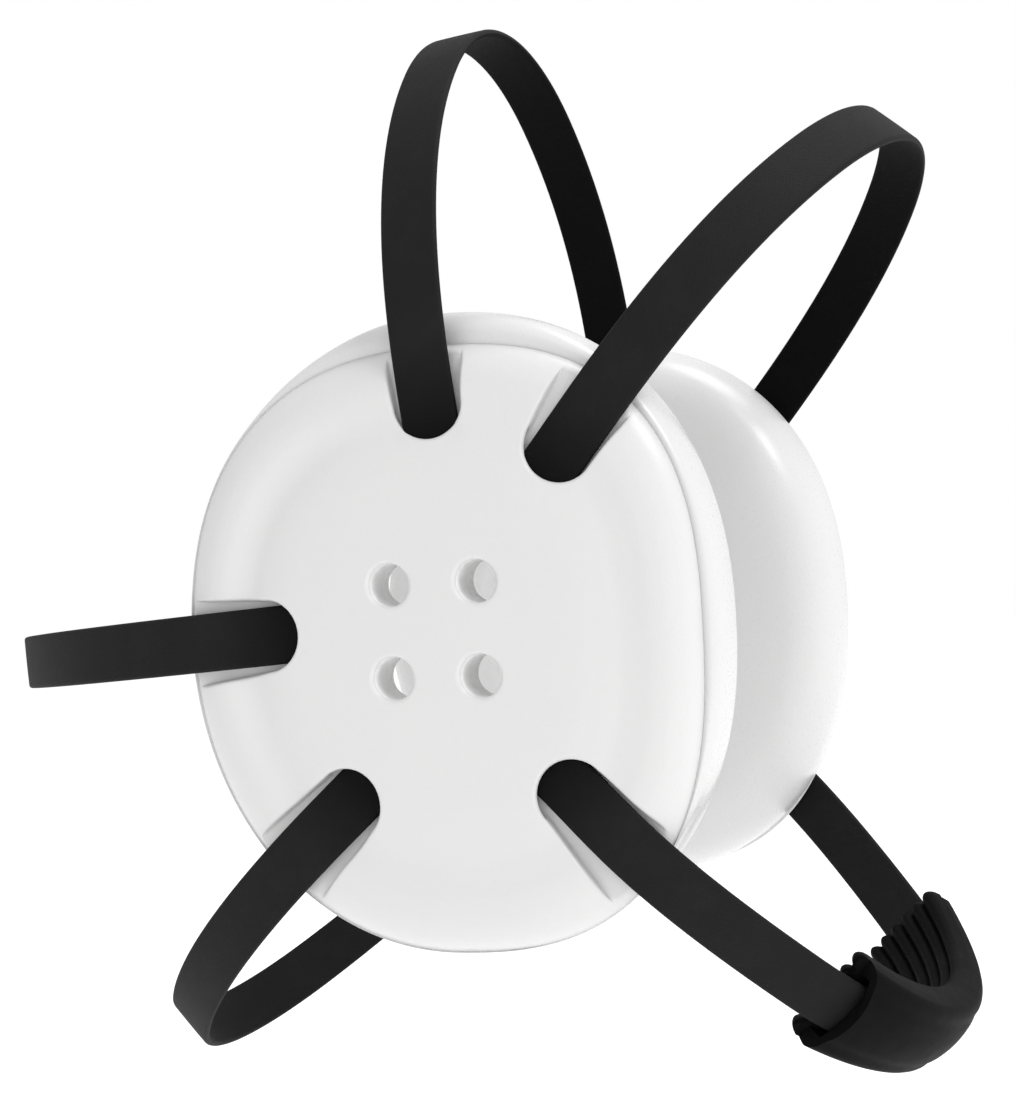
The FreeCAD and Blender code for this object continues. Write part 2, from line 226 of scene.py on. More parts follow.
def strap_axes(angle):
    """Unit vectors out along a strap and across its webbing, as (y, z)."""
    turn = math.radians(angle)
    out = np.array([math.sin(turn), math.cos(turn)])
    return out, np.array([-out[1], out[0]])


# ------------------------------------------------------------------ materials
class Nodes:
    """Short way to write a procedural material."""

    def __init__(self, name):
        self.material = bpy.data.materials.new(name)
        self.material.use_nodes = True
        self.tree = self.material.node_tree
        self.shader = self.tree.nodes["Principled BSDF"]
        self.coordinates = self.tree.nodes.new("ShaderNodeTexCoord")

    def add(self, kind, inputs=None, **settings):
        node = self.tree.nodes.new(kind)
        for key, value in settings.items():
            setattr(node, key, value)
        for key, value in (inputs or {}).items():
            self.put(node, key, value)
        return node

    def put(self, node, key, value):
        if isinstance(value, bpy.types.NodeSocket):
            self.tree.links.new(value, node.inputs[key])
        else:
            node.inputs[key].default_value = value

    def set(self, **inputs):
        for key, value in inputs.items():
            self.put(self.shader, key.replace("_", " "), value)

    def noise(self, scale, detail=3.0, roughness=0.5):
        node = self.add("ShaderNodeTexNoise", {
            "Vector": self.coordinates.outputs["Object"], "Scale": scale,
            "Detail": detail, "Roughness": roughness})
        return node.outputs["Fac"]

    def cells(self, scale, **settings):
        node = self.add("ShaderNodeTexVoronoi", {
            "Vector": self.coordinates.outputs["Object"], "Scale": scale}, **settings)
        return node.outputs["Distance"]

    def uv(self, name):
        """First and second coordinate of a UV map."""
        place = self.add("ShaderNodeUVMap", uv_map=name).outputs["UV"]
        split = self.add("ShaderNodeSeparateXYZ", {"Vector": place})
        return split.outputs[0], split.outputs[1]

    def ramp(self, value, low, high, start=0.0, end=1.0):
        node = self.add("ShaderNodeMapRange", {
            "Value": value, "From Min": start, "From Max": end,
            "To Min": low, "To Max": high})
        return node.outputs["Result"]

    def mix(self, factor, first, second):
        node = self.add("ShaderNodeMix", {"Factor": factor}, data_type="RGBA")
        self.put(node, 6, first)
        self.put(node, 7, second)
        return node.outputs[2]

    def math(self, operation, first, second=0.0):
        node = self.add("ShaderNodeMath", {0: first, 1: second}, operation=operation)
        return node.outputs[0]

    def bump(self, height, depth, strength=1.0, below=None):
        inputs = {"Height": height, "Distance": depth * MM, "Strength": strength}
        if below is not None:
            inputs["Normal"] = below
        return self.add("ShaderNodeBump", inputs).outputs["Normal"]


def grey(value, blue=1.0):
    return (value, value, value * blue, 1.0)


def white_vinyl(name, tone, rough, grain, hollow=None):
    """Satin vinyl skin: fine pebble grain, faint cloudiness and handling marks.

    The last argument is a lighter tone painted on the walls inside the holes, marked by the UV
    map of that name: painted light against the shade in the holes.
    """
    m = Nodes(name)
    cloud = m.noise(28.0, 4.0, 0.6)
    pebble = m.cells(grain, feature="SMOOTH_F1")
    peel = m.noise(grain * 1.7, 2.0, 0.6)
    scuff = m.ramp(m.noise(160.0, 6.0, 0.75), 0.0, 1.0, 0.58, 0.75)
    colour = m.mix(cloud, grey(tone, 0.995), grey(tone * 0.965, 1.004))
    colour = m.mix(m.math("MULTIPLY", scuff, 0.18), colour, grey(tone * 0.9, 0.99))
    if hollow:
        # painted light: the hole walls are lightened against the shade that falls inside the
        # holes
        colour = m.mix(m.uv("hollow")[0], colour, grey(hollow))
    m.set(Base_Color=colour, Roughness=m.ramp(peel, rough - 0.05, rough + 0.07), IOR=1.47,
          Specular_IOR_Level=0.5, Subsurface_Weight=0.06, Subsurface_Radius=(1.0, 0.9, 0.8),
          Subsurface_Scale=1.5 * MM, Coat_Weight=0.12, Coat_Roughness=0.25)
    first = m.bump(pebble, 0.05, 0.55)
    second = m.bump(peel, 0.05, 0.45, first)
    m.set(Normal=m.bump(m.noise(45.0, 3.0), 0.5, 0.12, second))
    return m.material


def webbing(name):
    """Close flat-woven nylon, with painted shade on the inner side and at both ends, where the
    ear cups shade it.
    """
    m = Nodes(name)
    along, across = m.uv("tape")
    # painted shade: the shade UV map darkens the inner side and the last 13 to 34 mm at each end
    under, from_end = m.uv("shade")
    inner = m.math("MAXIMUM", under, m.ramp(from_end, 0.85, 0.0, 13.0, 34.0))
    weft = m.math("SINE", m.math("MULTIPLY", along, 2 * math.pi / 0.62))
    warp = m.math("SINE", m.math("MULTIPLY", across, 2 * math.pi / 0.48))
    over = m.math("MULTIPLY", weft, warp)
    fibre = m.noise(2600.0, 2.0, 0.7)
    height = m.math("ADD", m.math("MULTIPLY", over, 0.5), m.math("MULTIPLY", fibre, 0.7))
    wear = m.noise(90.0, 4.0, 0.65)
    colour = m.mix(m.ramp(over, 0.0, 1.0, -1.0, 1.0), grey(0.0065, 1.04), grey(0.0135, 1.04))
    worn = m.math("MULTIPLY", m.ramp(wear, 0.0, 1.0, 0.45, 0.7), 0.35)
    colour = m.mix(worn, colour, grey(0.017, 1.05))
    # painted shade colour, with less specular and sheen where it lies
    colour = m.mix(inner, colour, grey(0.002))
    m.set(Base_Color=colour, Roughness=m.ramp(fibre, 0.62, 0.82),
          Specular_IOR_Level=m.ramp(inner, 0.12, 0.05), Sheen_Weight=m.ramp(inner, 0.02, 0.0),
          Sheen_Roughness=0.5, Sheen_Tint=grey(0.6))
    m.set(Normal=m.bump(height, 0.07, 0.6))
    return m.material


def black_rubber(name):
    """Moulded soft rubber with a dull skin, small dents and rub marks."""
    m = Nodes(name)
    dents = m.noise(210.0, 4.0, 0.6)
    skin = m.noise(1500.0, 2.0, 0.6)
    marks = m.ramp(m.noise(70.0, 6.0, 0.7), 0.0, 1.0, 0.5, 0.72)
    colour = m.mix(marks, grey(0.003, 1.03), grey(0.006, 1.03))
    m.set(Base_Color=colour, Roughness=m.ramp(dents, 0.52, 0.7), Specular_IOR_Level=0.05)
    m.set(Normal=m.bump(skin, 0.03, 0.4, m.bump(dents, 0.25, 0.35)))
    return m.material


def foam(name):
    """Closed-cell foam sheet."""
    m = Nodes(name)
    cells = m.cells(1400.0)
    colour = m.mix(m.ramp(cells, 0.0, 1.0, 0.0, 0.6), grey(0.58, 0.98), grey(0.72, 0.98))
    m.set(Base_Color=colour, Roughness=0.85, Specular_IOR_Level=0.2,
          Normal=m.bump(cells, 0.15, 0.7))
    return m.material


def hard_plastic(name):
    """Moulded plastic with a fine spark-eroded texture."""
    m = Nodes(name)
    texture = m.noise(2200.0, 2.0, 0.6)
    m.set(Base_Color=m.mix(m.noise(30.0), grey(0.66), grey(0.72)),
          Roughness=m.ramp(texture, 0.38, 0.55), Normal=m.bump(texture, 0.02, 0.4))
    return m.material


def eyelet_metal(name):
    """Nickel plate with fine turning marks."""
    m = Nodes(name)
    scratches = m.noise(3200.0, 3.0, 0.7)
    m.set(Base_Color=m.mix(scratches, grey(0.52, 0.97), grey(0.66, 0.97)), Metallic=1.0,
          Roughness=m.ramp(scratches, 0.25, 0.42), Normal=m.bump(scratches, 0.01, 0.3))
    return m.material


def make_materials():
    return {
        # 0.97: painted light on the hole walls of the cover
        "cover": white_vinyl("cover_vinyl", 0.70, 0.36, 1500.0, 0.97),
        "pad": white_vinyl("pad_vinyl", 0.69, 0.28, 1100.0),
        "webbing": webbing("webbing"),
        "rubber": black_rubber("chin_rubber"),
        "foam": foam("foam"),
        "plastic": hard_plastic("hard_plastic"),
        "metal": eyelet_metal("eyelet_metal"),
    }


# -------------------------------------------------------- ear cup, flat shapes
def outline_halves(shape, y_side, z_side, inset):
    """Half width, half height and power of an outline on the given sides of its centre."""
    front, rear, top, bottom, front_power, upper_power, lower_power = shape
    half_y = np.where(y_side < 0, front, rear) - inset
    half_z = np.where(z_side > 0, top, bottom) - inset
    rear_power = np.where(z_side > 0, upper_power, lower_power)
    return half_y, half_z, np.where(y_side < 0, front_power, rear_power)


def outline_level(shape, y, z):
    """1 on an outline, and less inside it."""
    dy, dz = y - CUP_Y, z - CUP_Z
    half_y, half_z, power = outline_halves(shape, dy, dz, 0)
    return ((np.abs(dy) / half_y) ** power + (np.abs(dz) / half_z) ** power) ** (1 / power)


def outline_point(shape, turn, inset=0.0, scale=1.0):
    """Points (y, z) round an outline drawn in by inset."""
    c, s = np.cos(turn), np.sin(turn)
    half_y, half_z, power = outline_halves(shape, c, s, inset)
    y = CUP_Y + scale * half_y * np.sign(c) * np.abs(c) ** (2 / power)
    z = CUP_Z + scale * half_z * np.sign(s) * np.abs(s) ** (2 / power)
    return np.stack([y, z], -1)


def pocket_half_width(distance):
    """Half width of the pocket between the post and the mouth."""
    return POCKET_RADIUS + (MOUTH_RADIUS - POCKET_RADIUS) * distance / MOUTH_DISTANCE


class Channel:
    """The recess that one strap swings in."""

    slope = (FLARE_HALF_WIDTH - MOUTH_RADIUS) / (FLARE_DISTANCE - MOUTH_DISTANCE)
    far = FLARE_DISTANCE + 2

    def __init__(self, strap):
        out, across = strap_axes(strap["angle"])
        self.post = out * strap["post"] + across * strap["offset"]
        self.along, self.side = strap_axes(strap["angle"] + strap["channel"])

    def place(self, distance, shift):
        """Points (y, z) from distances out from the post and shifts to the side."""
        return (self.post + np.multiply.outer(distance, self.along)
                + np.multiply.outer(shift, self.side))

    def local(self, y, z):
        """Distance out from the post and shift to the side."""
        dy, dz = y - self.post[0], z - self.post[1]
        return (dy * self.along[0] + dz * self.along[1],
                dy * self.side[0] + dz * self.side[1])

    def beyond_sides(self, past, b):
        """Distance outside the flared sides, past the mouth."""
        return (np.abs(b) - MOUTH_RADIUS - self.slope * past) / math.hypot(1, self.slope)

    def distance(self, y, z):
        """Distance outside the open channel; negative inside."""
        a, b = self.local(y, z)
        past = a - MOUTH_DISTANCE
        return np.where(past < 0, np.hypot(past, b) - MOUTH_RADIUS, self.beyond_sides(past, b))

    def floor_distance(self, y, z):
        """Distance outside the floor, which runs on under the cover as far as the post."""
        a, b = self.local(y, z)
        past = a - MOUTH_DISTANCE
        taper = pocket_half_width(np.clip(a, 0, MOUTH_DISTANCE))
        pocket = np.where(a < 0, np.hypot(a, b) - POCKET_RADIUS, np.abs(b) - taper)
        return np.where(past < 0, pocket, self.beyond_sides(past, b))

    def line(self, shift, with_pocket):
        """Open line that follows the edge at a shift, from rim to rim round mouth or pocket."""
        reach = np.linspace(self.far, MOUTH_DISTANCE, 34)
        half = MOUTH_RADIUS + self.slope * (reach - MOUTH_DISTANCE) + shift
        turn = np.linspace(math.pi / 2, -math.pi / 2, 25)[1:-1]
        if with_pocket:
            middle = np.linspace(MOUTH_DISTANCE, 0, 14)[1:-1]
            width = pocket_half_width(middle) + shift
            radius = POCKET_RADIUS + shift
            rows = [self.place(middle, width),
                    self.place(-radius * np.cos(turn), radius * np.sin(turn)),
                    self.place(middle[::-1], -width[::-1])]
        else:
            radius = MOUTH_RADIUS + shift
            rows = [self.place(MOUTH_DISTANCE - radius * np.cos(turn), radius * np.sin(turn))]
        return np.vstack([self.place(reach, half), *rows, self.place(reach[::-1], -half[::-1])])


CHANNELS = [Channel(strap) for strap in STRAPS.values()]
HOLES = [(y * HOLE_SPACING / 2, z * HOLE_SPACING / 2) for y in (-1, 1) for z in (-1, 1)]
cover_base = smooth_curve(COVER_SECTION)


def hole_distance(y, z):
    """Distance from the middle of the nearest hole."""
    return np.min([np.hypot(y - a, z - b) for a, b in HOLES], axis=0)


def channel_distance(y, z):
    return np.min([channel.distance(y, z) for channel in CHANNELS], axis=0)


def floor_distance(y, z):
    return np.min([channel.floor_distance(y, z) for channel in CHANNELS], axis=0)


def rounded(distance, radius):
    """Drop of a rounded edge at a distance from its wall."""
    inner = np.clip(radius - distance, 0, radius)
    return radius - np.sqrt(radius * radius - inner * inner)


def base_height(y, z):
    """Height of the cover before its channels and holes are cut."""
    level = outline_level(COVER_OUTLINE, y, z) * COVER_SPAN
    rear = np.clip((y - CUP_Y) / REAR_BLEND, 0, 1)
    valley = np.exp(-((level - VALLEY_LEVEL) / VALLEY_WIDTH) ** 2)
    return cover_base(level) - REAR_VALLEY * rear * valley


def edge_share(base):
    """How much of the channel's rounding is left as the rim falls away."""
    return np.clip((base - FLOOR_U) / ROUND_FADE, 0, 1)


def face_height(y, z):
    """Height of the outer face, with rounded lips and hole edges."""
    base = base_height(y, z)
    drop = rounded(np.maximum(channel_distance(y, z), 0), CHANNEL_ROUND) * edge_share(base)
    hole = hole_distance(y, z) - HOLE_RADIUS
    return base - np.maximum(drop, rounded(np.maximum(hole, 0), HOLE_ROUND))


def floor_height(y, z):
    """Height of the channel floors, which follow the face where it falls below them."""
    base = base_height(y, z)
    rise = rounded(np.maximum(-floor_distance(y, z), 0), FLOOR_ROUND) * edge_share(base)
    return np.where(base > FLOOR_U, FLOOR_U + rise, base)


def lean(height, y, z):
    """Normals (y, z, u) of a height function."""
    step = 0.03
    slope_y = (height(y + step, z) - height(y - step, z)) / (2 * step)
    slope_z = (height(y, z + step) - height(y, z - step)) / (2 * step)
    return np.column_stack([-slope_y, -slope_z, np.ones(len(y))])


def cover_points():
    """Flat points and constraint lines for the cover's triangles."""
    points, lines = [], []

    def add_line(line, closed):
        start = sum(len(p) for p in points)
        points.append(line)
        count = len(line)
        ends = range(count if closed else count - 1)
        lines.extend((start + i, start + (i + 1) % count) for i in ends)

    def rounding(radius, *degrees):
        """Distances from a wall that carry its rounded edge evenly."""
        return [radius * (1 - math.sin(math.radians(degree))) for degree in degrees]

    turn = np.linspace(0, 2 * math.pi, RIM_STEPS, endpoint=False)
    add_line(outline_point(COVER_OUTLINE, turn), True)
    for channel in CHANNELS:
        for shift in rounding(CHANNEL_ROUND, 0, 30, 60, 90):
            add_line(channel.line(shift, False), False)
        for shift in rounding(FLOOR_ROUND, 0, 45, 90):
            add_line(channel.line(-shift, True), False)
    ring = np.linspace(0, 2 * math.pi, HOLE_STEPS, endpoint=False)
    for y, z in HOLES:
        for shift in rounding(HOLE_ROUND, 0, 22.5, 45, 67.5, 90):
            radius = HOLE_RADIUS + shift
            add_line(np.stack([y + radius * np.cos(ring), z + radius * np.sin(ring)], -1), True)
    free = []
    for scale in np.arange(RING_OUTER, RING_INNER, -RING_GAP):
        turn = np.linspace(0, 2 * math.pi, int(250 * scale), endpoint=False)
        free.append(outline_point(COVER_OUTLINE, turn, 0, scale))
    grid_y, grid_z = np.meshgrid(np.arange(-40, 42, GRID_GAP), np.arange(-46, 46, GRID_GAP))
    grid_y = grid_y + (np.arange(grid_z.shape[0]) % 2)[:, None] * GRID_GAP / 2
    inner = np.stack([grid_y.ravel(), grid_z.ravel()], -1)
    free.append(inner[outline_level(COVER_OUTLINE, inner[:, 0], inner[:, 1]) < GRID_LEVEL])
    free = np.vstack(free)
    y, z = free.T
    clear = hole_distance(y, z) > HOLE_RADIUS + HOLE_ROUND + 0.6
    for channel in CHANNELS:
        edge, floor = channel.distance(y, z), channel.floor_distance(y, z)
        clear &= (edge > CHANNEL_ROUND + 0.5) | (edge < -0.9)
        clear &= (floor > 0.5) | (floor < -0.9)
    points.append(free[clear])
    return np.vstack(points), lines


def cover_mesh():
    """Points (y, z, u), faces, how many of them are not walls, and normals of one closed cover.

    The outline is cut into triangles once, flat. Each triangle then stands in every layer
    that the cover has there, and walls join the layers where two neighbours differ.
    """
    flat, lines = cover_points()
    corners, _, faces, _, _, _ = delaunay_2d_cdt([Vector(p) for p in flat], lines, [], 0, 1e-5)
    corners = np.array([tuple(p) for p in corners])
    faces = [tuple(f) for f in faces]
    y, z = corners.T
    heights = {
        "face": face_height(y, z),
        "floor": floor_height(y, z),
        "roof": np.minimum(POCKET_ROOF_U, face_height(y, z) - LIP_WALL),
        "back": np.full(len(y), COVER_BACK_U),
    }
    middle = np.array([corners[list(f)].mean(0) for f in faces])
    my, mz = middle.T
    outside = (outline_level(COVER_OUTLINE, my, mz) > 1) | (hole_distance(my, mz) < HOLE_RADIUS)
    in_channel = channel_distance(my, mz) < 0
    in_pocket = floor_distance(my, mz) < 0
    layers = []
    for i in range(len(faces)):
        if outside[i]:
            layers.append(frozenset())
        elif in_channel[i]:
            layers.append(frozenset(["floor", "back"]))
        elif in_pocket[i]:
            layers.append(frozenset(["face", "roof", "floor", "back"]))
        else:
            layers.append(frozenset(["face", "back"]))
    leans = {"face": lean(face_height, y, z), "floor": lean(floor_height, y, z)}
    from_channel = np.min([np.abs(c.distance(y, z)) for c in CHANNELS], axis=0)
    from_hole = np.abs(hole_distance(y, z) - HOLE_RADIUS)
    own_lean = ((from_channel > SHARP_GAP) & (from_hole > SHARP_GAP)
                & (outline_level(COVER_OUTLINE, y, z) < 0.999))
    used = {}
    for i, f in enumerate(faces):
        for key in f:
            used.setdefault(key, set()).update(layers[i])
    index, points, normals, polygons = {}, [], [], []

    def corner(key, layer):
        """Vertex of a layer; layers that meet at one height share it."""
        height = heights[layer][key]
        layer = min(n for n in used[key] if abs(heights[n][key] - height) < SAME_HEIGHT)
        if (key, layer) not in index:
            index[(key, layer)] = len(points)
            points.append((y[key], z[key], heights[layer][key]))
            steady = layer in leans and own_lean[key]
            normals.append(leans[layer][key] if steady else (0.0, 0.0, 0.0))
        return index[(key, layer)]

    def upright(key, low, high):
        """Vertices up one edge of a wall, with those of any layer that ends on it."""
        bottom, top = heights[low][key], heights[high][key]
        between = [n for n in used[key] if bottom < heights[n][key] < top]
        between.sort(key=lambda n: (heights[n][key], n))
        return [corner(key, n) for n in (low, *between, high)]

    sides = {}
    for i, f in enumerate(faces):
        for layer in sorted(layers[i]):
            polygons.append(tuple(corner(k, layer) for k in f))
        for a, b in zip(f, f[1:] + f[:1]):
            sides.setdefault((min(a, b), max(a, b)), []).append(i)
    flat_count = len(polygons)
    for (a, b), touching in sides.items():
        first = layers[touching[0]]
        second = layers[touching[1]] if len(touching) > 1 else frozenset()
        walls = sorted(first ^ second, key=lambda n: (heights[n][a], n))
        for low, high in zip(walls[::2], walls[1::2]):
            wall = list(dict.fromkeys(upright(b, low, high) + upright(a, low, high)[::-1]))
            if len(wall) > 2:
                polygons.append(tuple(wall))
    return np.array(points), polygons, flat_count, np.array(normals)


def pad_mesh():
    """Points (y, z, u) and quads of one pad ring."""
    section = closed_curve(PAD_SECTION, 3)
    turn = np.linspace(0, 2 * math.pi, PAD_STEPS, endpoint=False)
    rings = []
    for inset, u, follow in section:
        follow = min(max(follow, 0), 1)
        seam = outline_point(COVER_OUTLINE, turn, inset - PAD_SEAM)
        ring = seam * follow + outline_point(CUP_OUTLINE, turn, inset) * (1 - follow)
        share = min(max(inset, 0), PUFF_REACH) * 180 / PUFF_REACH
        puff = PUFF_DEPTH * np.sin(5 * turn + 0.9) * math.sin(math.radians(share))
        rings.append(np.column_stack([ring, np.full(len(turn), u) - puff * (1 - follow)]))
    return np.vstack(rings), grid_faces(len(section), len(turn), True, True)


def place_cup(points, side):
    """(y, z, u) rows to (x, y, z) on the left (+1) or right (-1) of the head."""
    return np.column_stack([side * points[:, 2], points[:, 0], points[:, 1]])


def bend_normals(piece, flat_count, normals, side):
    """Give the faces that are not walls the exact normals of the height functions."""
    mesh = piece.data
    split = []
    for polygon in mesh.polygons:
        for vertex in polygon.vertices:
            y, z, u = normals[vertex] if polygon.index < flat_count else (0.0, 0.0, 0.0)
            split.append(Vector((side * u, y, z)).normalized())
    mesh.normals_split_custom_set(split)


def mark_hole_walls(piece, flat_count):
    """UV map that is 1 on the walls of the four holes and 0 elsewhere, marking where painted
    light lightens them.
    """
    layer = piece.data.uv_layers.new(name="hollow")
    for polygon in piece.data.polygons:
        _, y, z = polygon.center / MM
        wall = polygon.index >= flat_count and hole_distance(y, z) < HOLE_RADIUS + 0.1
        for loop in polygon.loop_indices:
            layer.data[loop].uv = (float(wall), 0.0)


def build_cups(materials):
    skin_points, skin_faces, flat_count, normals = cover_mesh()
    pad_points, pad_faces = pad_mesh()
    for side, name in ((1, "left"), (-1, "right")):
        cover = new_object(f"{name}_cover", place_cup(skin_points, side), skin_faces, False)
        bend_normals(cover, flat_count, normals, side)
        mark_hole_walls(cover, flat_count)
        cover.data.materials.append(materials["cover"])
        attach(cover, "cups")
        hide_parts(f"{name}_outer_cover")
        pad = new_object(f"{name}_pad", place_cup(pad_points, side), pad_faces)
        round_off = pad.modifiers.new("round", "SUBSURF")
        round_off.levels = round_off.render_levels = 1
        pad.data.materials.append(materials["pad"])
        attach(pad, "cups")
        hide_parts(f"{name}_pad_skin", f"{name}_pad_foam")


# --------------------------------------------------------------------- straps
def strap_line(strap):
    """Centre line (x, out) of a whole strap with its outward normals."""
    sweep = math.radians(strap["sweep"])
    centre = np.array([0, strap["reach"] - strap["radius"]])
    start = np.array([-STRAP_U, strap["post"] + TAB_LENGTH])
    end = centre + strap["radius"] * np.array([-math.sin(sweep), math.cos(sweep)])
    handle_a = start + np.array([0, strap["start"]])
    handle_b = end - strap["end"] * np.array([math.cos(sweep), math.sin(sweep)])
    tab = np.linspace(strap["post"] - WEB_WIDTH / 2, strap["post"] + TAB_LENGTH, 14)[:-1]
    rows = [(np.array([-STRAP_U, r]), np.array([-1.0, 0.0])) for r in tab]
    for t in np.linspace(0, 1, 41)[:-1]:
        s = 1 - t
        place = start * s**3 + handle_a * 3 * t * s * s + handle_b * 3 * t * t * s + end * t**3
        slope = ((handle_a - start) * s * s + (handle_b - handle_a) * 2 * t * s
                 + (end - handle_b) * t * t)
        slope = slope / np.linalg.norm(slope)
        rows.append((place, np.array([-slope[1], slope[0]])))
    for turn in np.linspace(-sweep, 0, 25):
        normal = np.array([math.sin(turn), math.cos(turn)])
        rows.append((centre + strap["radius"] * normal, normal))
    mirrored = [(p * (-1, 1), n * (-1, 1)) for p, n in rows[-2::-1]]
    return rows + mirrored


def tape_section():
    """Closed section of the webbing, (across, through), with softly rolled edges."""
    half = WEB_WIDTH / 2
    thick = WEB_THICK / 2 - WEB_CROWN
    across = np.linspace(-half + WEB_EDGE, half - WEB_EDGE, 13)
    top = np.column_stack([across, thick + WEB_CROWN * np.cos(across / half * math.pi / 2)])
    turn = np.linspace(math.pi / 2, -math.pi / 2, 9)[1:-1]
    edge = np.column_stack([half - WEB_EDGE + WEB_EDGE * np.cos(turn), thick * np.sin(turn)])
    half_section = np.vstack([top, edge])
    return np.vstack([half_section, half_section * (-1, -1)])


def strap_mesh(strap):
    """Points, faces and (length, width, shade) of each point of one strap."""
    out, across = strap_axes(strap["angle"])
    line = strap_line(strap)
    section = tape_section()
    points, tape, run = [], [], 0.0
    last = line[0][0]
    for place, normal in line:
        run += float(np.linalg.norm(place - last))
        last = place
        past = max(strap["post"] - place[1], 0) / (WEB_WIDTH / 2)
        width = math.sqrt(max(1 - past ** 2, TIP_WIDTH ** 2))
        for side, through in section:
            x, r = place + normal * through
            shift = strap["offset"] + side * width
            points.append((x, *(out * r + across * shift)))
            tape.append((run, side + WEB_WIDTH / 2, strap["shade"] if through < 0 else 0.0))
    return np.array(points), tube_faces(len(line), len(section)), tape


def build_straps(materials):
    for name, strap in STRAPS.items():
        points, faces, tape = strap_mesh(strap)
        piece = new_object(f"{name}_webbing", points, faces, False)
        layer = piece.data.uv_layers.new(name="tape")
        shade = piece.data.uv_layers.new(name="shade")
        length = tape[-1][0]
        for loop in piece.data.loops:
            run, across, under = tape[loop.vertex_index]
            layer.data[loop.index].uv = (run, across)
            shade.data[loop.index].uv = (under, min(run, length - run))
        piece.data.materials.append(materials["webbing"])
        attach(piece, "chin_strap_body" if name == "chin" else name)
        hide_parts(f"{name}_strap")


# ------------------------------------------------------------------- chin cup
def chin_place(radius, turn, across_shift):
    """Points on the chin cup from radius, angle along the strap and shift across it."""
    strap = STRAPS["chin"]
    out, across = strap_axes(strap["angle"])
    r = strap["reach"] - strap["radius"] + radius * np.cos(turn)
    yz = np.multiply.outer(r, out) + np.multiply.outer(strap["offset"] + across_shift, across)
    return np.column_stack([radius * np.sin(turn), yz])


def chin_sweep(section, reach, nose=None):
    """Sweep a closed (radius, across) section along the strap's arc.

    reach gives each point's last angle in degrees, and nose draws the ends in.
    """
    radius, across = np.array(section, float).T
    last = np.radians(reach(radius, across))
    share = np.sin(np.linspace(-1, 1, 81) * math.pi / 2)
    rows = []
    for s in share:
        place = nose(radius, abs(s)) if nose else radius
        rows.append(chin_place(place, s * last, across * (1 + CHIN_FLARE * s * s)))
    return np.vstack(rows), tube_faces(len(share), len(section))


def chin_outer_mesh(top, foot):
    """Smooth wall and side rails, scooped out round the strap at both ends."""
    half, slot = CHIN_HALF_WIDTH, CHIN_SLOT_HALF_WIDTH
    skin = top + CHIN_WALL
    flat = half - CHIN_ROUND
    corner = [(skin - CHIN_ROUND + CHIN_ROUND * math.sin(a), flat + CHIN_ROUND * math.cos(a))
              for a in np.linspace(0, math.pi / 2, 7)]
    back = []
    for c in np.linspace(flat, -flat, 21)[1:-1]:
        from_groove = (abs(c) - half + CHIN_GROOVE_INSET) / CHIN_GROOVE_WIDTH
        groove = CHIN_GROOVE * math.exp(-from_groove ** 2)
        back.append((skin - groove + CHIN_CROWN * (1 - (c / flat) ** 2), c))
    section = ([(foot, half)] + corner + back + [(r, -c) for r, c in corner[::-1]]
               + [(foot, -half), (foot, -slot), (top, -slot)]
               + [(top, c) for c in np.linspace(-slot, slot, 19)[1:-1]]
               + [(top, slot), (foot, slot)])

    def reach(radius, across):
        scoop = CHIN_SCOOP * (1 - (across / half) ** 2) ** 0.8
        return CHIN_HALF_ANGLE - np.where(radius > foot + 0.5, scoop, 0)

    return chin_sweep(section, reach)


def chin_liner_mesh(back):
    """Inner wall with soft ribs that run along the strap and end in round noses."""
    half = CHIN_HALF_WIDTH
    face = back - CHIN_LINER
    pitch = 2 * half / RIB_COUNT
    ribs = []
    for c in np.linspace(half, -half, RIB_COUNT * 10 + 1):
        wave = abs(math.sin(math.pi * (c + half) / pitch)) ** 0.75
        ribs.append((face + RIB_DEPTH * (1 - wave), c * (1 - 0.02 * (1 - wave))))
    section = ribs + [(back, c) for c in np.linspace(-half, half, 19)]

    def reach(radius, across):
        lobe = np.abs(np.sin(np.pi * (across + half) / pitch)) ** 0.7
        return CHIN_HALF_ANGLE + RIB_OVERHANG + RIB_LOBE * lobe

    def nose(radius, share):
        close = min(max(share - 1 + CHIN_NOSE, 0) / CHIN_NOSE, 1)
        return back - (back - radius) * (0.3 + 0.7 * math.sqrt(1 - close * close))

    return chin_sweep(section, reach, nose)


def build_chin_cup(materials):
    radius = STRAPS["chin"]["radius"]
    top = radius + WEB_THICK / 2 + CHIN_GAP
    foot = radius - WEB_THICK / 2 - CHIN_GAP
    pieces = {"chin_outer": ("chin_cup_outer", chin_outer_mesh(top, foot)),
              "chin_liner": ("chin_cup_liner", chin_liner_mesh(foot))}
    for name, (node, (points, faces)) in pieces.items():
        piece = new_object(name, points, faces)
        bevel = piece.modifiers.new("soft_edges", "BEVEL")
        bevel.width = CHIN_EDGE * MM
        bevel.segments = 3
        bevel.limit_method = "ANGLE"
        bevel.angle_limit = math.radians(CHIN_EDGE_ANGLE)
        piece.modifiers.new("weigh", "WEIGHTED_NORMAL")
        piece.data.materials.append(materials["rubber"])
        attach(piece, "chin_cup")
        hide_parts(node)


# --------------------------------------------------------------- hidden pieces
def finish_cad_nodes(materials):
    """Give the CAD pieces that stay in view their own materials."""
    wanted = {"hard_shell": "plastic", "strap_posts": "plastic",
              "ear_liner": "foam", "eyelets": "metal"}
    for name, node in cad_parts.items():
        for ending, material in wanted.items():
            if name.endswith(ending):
                node.data.materials.clear()
                node.data.materials.append(materials[material])


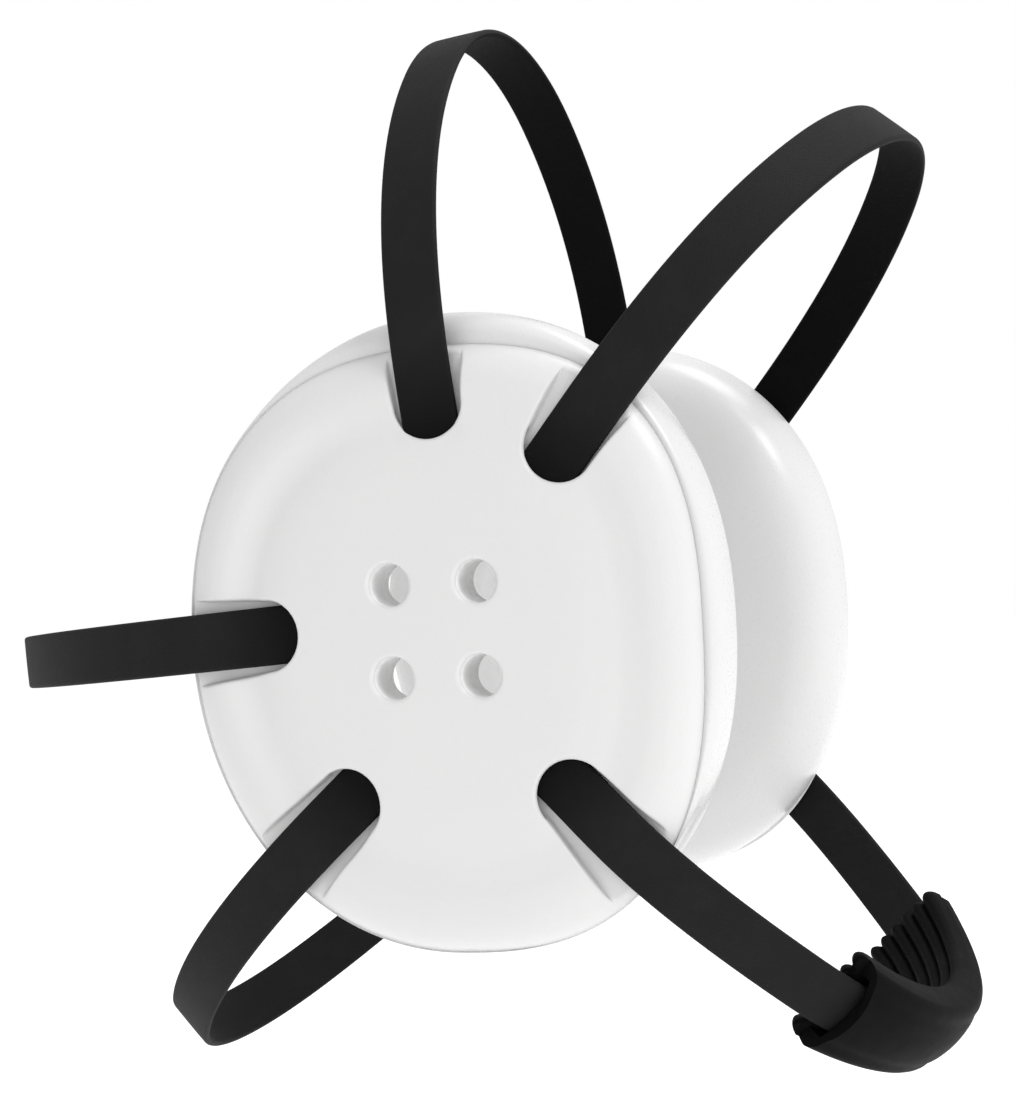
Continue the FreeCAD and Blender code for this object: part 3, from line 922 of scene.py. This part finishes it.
# ------------------------------------------------------------- camera and light
def camera_axes():
    """Right, up and back of the camera."""
    turn, tilt, roll = (math.radians(v) for v in (CAMERA_TURN, CAMERA_TILT, CAMERA_ROLL))
    level = math.cos(tilt)
    back = Vector((-math.cos(turn) * level, -math.sin(turn) * level, math.sin(tilt)))
    right = (-back).cross(Vector((0, 0, 1))).normalized()
    up = back.cross(right)
    return (right * math.cos(roll) + up * math.sin(roll),
            up * math.cos(roll) - right * math.sin(roll), back)


def build_camera():
    camera = bpy.data.objects.new("camera", bpy.data.cameras.new("camera"))
    bpy.context.scene.collection.objects.link(camera)
    turn = Matrix(camera_axes()).transposed().to_4x4()
    camera.matrix_world = Matrix.Translation(Vector(CAMERA_PLACE) * MM) @ turn
    camera.data.lens = CAMERA_LENS
    camera.data.clip_start = 0.01
    bpy.context.scene.camera = camera


def area_light(name, place, size, power):
    lamp = bpy.data.objects.new(name, bpy.data.lights.new(name, "AREA"))
    bpy.context.scene.collection.objects.link(lamp)
    lamp.data.shape = "DISK"
    lamp.data.size = size
    lamp.data.energy = power
    lamp.location = place
    lamp.rotation_euler = (-Vector(place)).to_track_quat("-Z", "Y").to_euler()


def build_studio():
    """Wide pale floor, an even white sky and two soft lamps above the face side."""
    corners = [(x * FLOOR_HALF, y * FLOOR_HALF, FLOOR_LEVEL)
               for x, y in ((-1, -1), (1, -1), (1, 1), (-1, 1))]
    floor = new_object("floor", corners, [(0, 1, 2, 3)])
    m = Nodes("floor")
    m.set(Base_Color=m.mix(m.noise(3.0), grey(0.96), grey(0.98)), Roughness=0.9,
          Specular_IOR_Level=0.1, Emission_Color=grey(1.0), Emission_Strength=FLOOR_GLOW,
          Normal=m.bump(m.noise(900.0), 0.05, 0.2))
    floor.data.materials.append(m.material)
    world = bpy.data.worlds.new("studio")
    bpy.context.scene.world = world
    world.use_nodes = True
    sky = world.node_tree.nodes["Background"]
    sky.inputs["Color"].default_value = (1, 1, 1, 1)
    seen = world.node_tree.nodes.new("ShaderNodeLightPath").outputs["Is Camera Ray"]
    level = world.node_tree.nodes.new("ShaderNodeMapRange")
    level.inputs["To Min"].default_value = SKY_LIGHT
    level.inputs["To Max"].default_value = SKY_SEEN
    world.node_tree.links.new(seen, level.inputs["Value"])
    world.node_tree.links.new(level.outputs["Result"], sky.inputs["Strength"])
    for name, (place, size, power) in LAMPS.items():
        area_light(name, place, size, power)
    bpy.context.scene.view_settings.view_transform = "Standard"


materials = make_materials()
build_cups(materials)
build_straps(materials)
build_chin_cup(materials)
finish_cad_nodes(materials)
build_camera()
build_studio()

bpy.context.view_layer.update()
